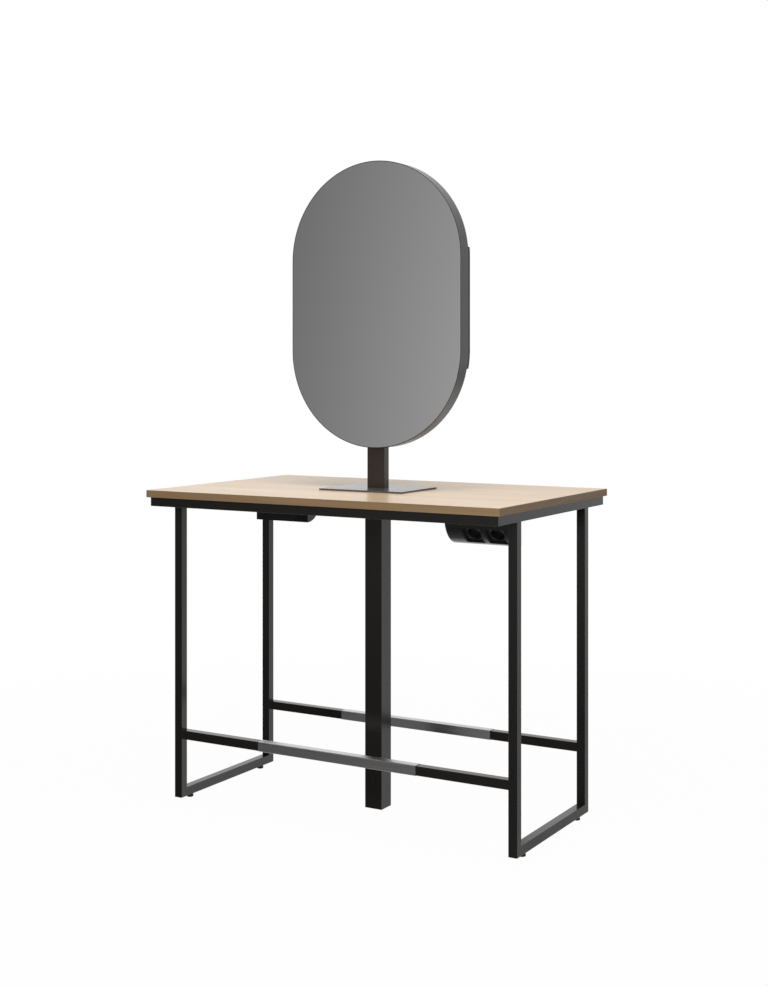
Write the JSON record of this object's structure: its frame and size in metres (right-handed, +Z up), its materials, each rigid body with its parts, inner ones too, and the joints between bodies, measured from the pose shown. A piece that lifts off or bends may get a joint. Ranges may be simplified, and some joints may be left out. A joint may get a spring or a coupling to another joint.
{
  "type": "double sided salon station",
  "caption": "Free-standing styling island: oak top on a black tube frame with footrests, socket housings and a double sided obround mirror on a central stand.",
  "frame": {"origin": "on the floor under the middle of the tabletop", "axes": "+Z up, +X along the top to the right seen from the front, -Y towards the front user"},
  "size_m": [1.1, 0.7, 1.8269],
  "materials": {
    "oak_laminate": "light oak laminate, matt with fine grain",
    "oak_edge": "oak edge band, matt",
    "black_powder": "black powder coat, fine texture",
    "brushed_stainless": "lengthwise brushed stainless",
    "mirror_glass": "grey tinted silvered glass",
    "graphite_band": "satin graphite",
    "core_board": "raw fibreboard",
    "black_trim": "satin black",
    "dark_steel": "satin dark bronze black",
    "housing_plastic": "moulded satin black",
    "socket_plastic": "moulded black",
    "contact_brass": "plain brass",
    "foot_plastic": "moulded black",
    "zinc_steel": "zinc plated"
  },
  "bodies": {
    "frame": {"base_plate_nuts": "zinc_steel", "base_plate_studs": "zinc_steel", "centre_post": "black_powder", "foot_nuts": "zinc_steel", "front_apron_rail": "black_powder", "front_footrest_bar": "black_powder", "front_footrest_sleeve": "brushed_stainless", "front_mirror_backing": "core_board", "front_mirror_glass": "mirror_glass", "front_socket_back": "housing_plastic", "front_socket_carrier": "housing_plastic", "front_socket_contacts": "contact_brass", "front_socket_cover": "housing_plastic", "front_socket_end_caps": "housing_plastic", "front_socket_inserts": "socket_plastic", "front_socket_screws": "zinc_steel", "left_apron_rail": "black_powder", "left_floor_runner": "black_powder", "left_front_leg": "black_powder", "left_rear_leg": "black_powder", "mirror_base_plate": "dark_steel", "mirror_core": "core_board", "mirror_edge_band": "graphite_band", "mirror_fixing_screws": "zinc_steel", "mirror_upright": "dark_steel", "post_head_plate": "black_powder", "rear_apron_rail": "black_powder", "rear_edge_strips": "black_trim", "rear_footrest_bar": "black_powder", "rear_footrest_sleeve": "brushed_stainless", "rear_mirror_backing": "core_board", "rear_mirror_glass": "mirror_glass", "rear_socket_back": "housing_plastic", "rear_socket_carrier": "housing_plastic", "rear_socket_contacts": "contact_brass", "rear_socket_cover": "housing_plastic", "rear_socket_end_caps": "housing_plastic", "rear_socket_inserts": "socket_plastic", "rear_socket_screws": "zinc_steel", "right_apron_rail": "black_powder", "right_floor_runner": "black_powder", "right_front_leg": "black_powder", "right_rear_leg": "black_powder", "tabletop_edge_bands": "oak_edge", "tabletop_panel": "oak_laminate", "tabletop_screws": "zinc_steel"},
    "left_front_foot": {"left_front_foot_pad": "foot_plastic", "left_front_foot_stud": "zinc_steel"},
    "left_rear_foot": {"left_rear_foot_pad": "foot_plastic", "left_rear_foot_stud": "zinc_steel"},
    "right_front_foot": {"right_front_foot_pad": "foot_plastic", "right_front_foot_stud": "zinc_steel"},
    "right_rear_foot": {"right_rear_foot_pad": "foot_plastic", "right_rear_foot_stud": "zinc_steel"}
  },
  "joints": [
    {"name": "left_front_foot_level", "type": "slide", "parent": "frame", "child": "left_front_foot", "axis": [0, 0, -1], "range_m": [0, 0.012]},
    {"name": "left_rear_foot_level", "type": "slide", "parent": "frame", "child": "left_rear_foot", "axis": [0, 0, -1], "range_m": [0, 0.012]},
    {"name": "right_front_foot_level", "type": "slide", "parent": "frame", "child": "right_front_foot", "axis": [0, 0, -1], "range_m": [0, 0.012]},
    {"name": "right_rear_foot_level", "type": "slide", "parent": "frame", "child": "right_rear_foot", "axis": [0, 0, -1], "range_m": [0, 0.012]}
  ]
}
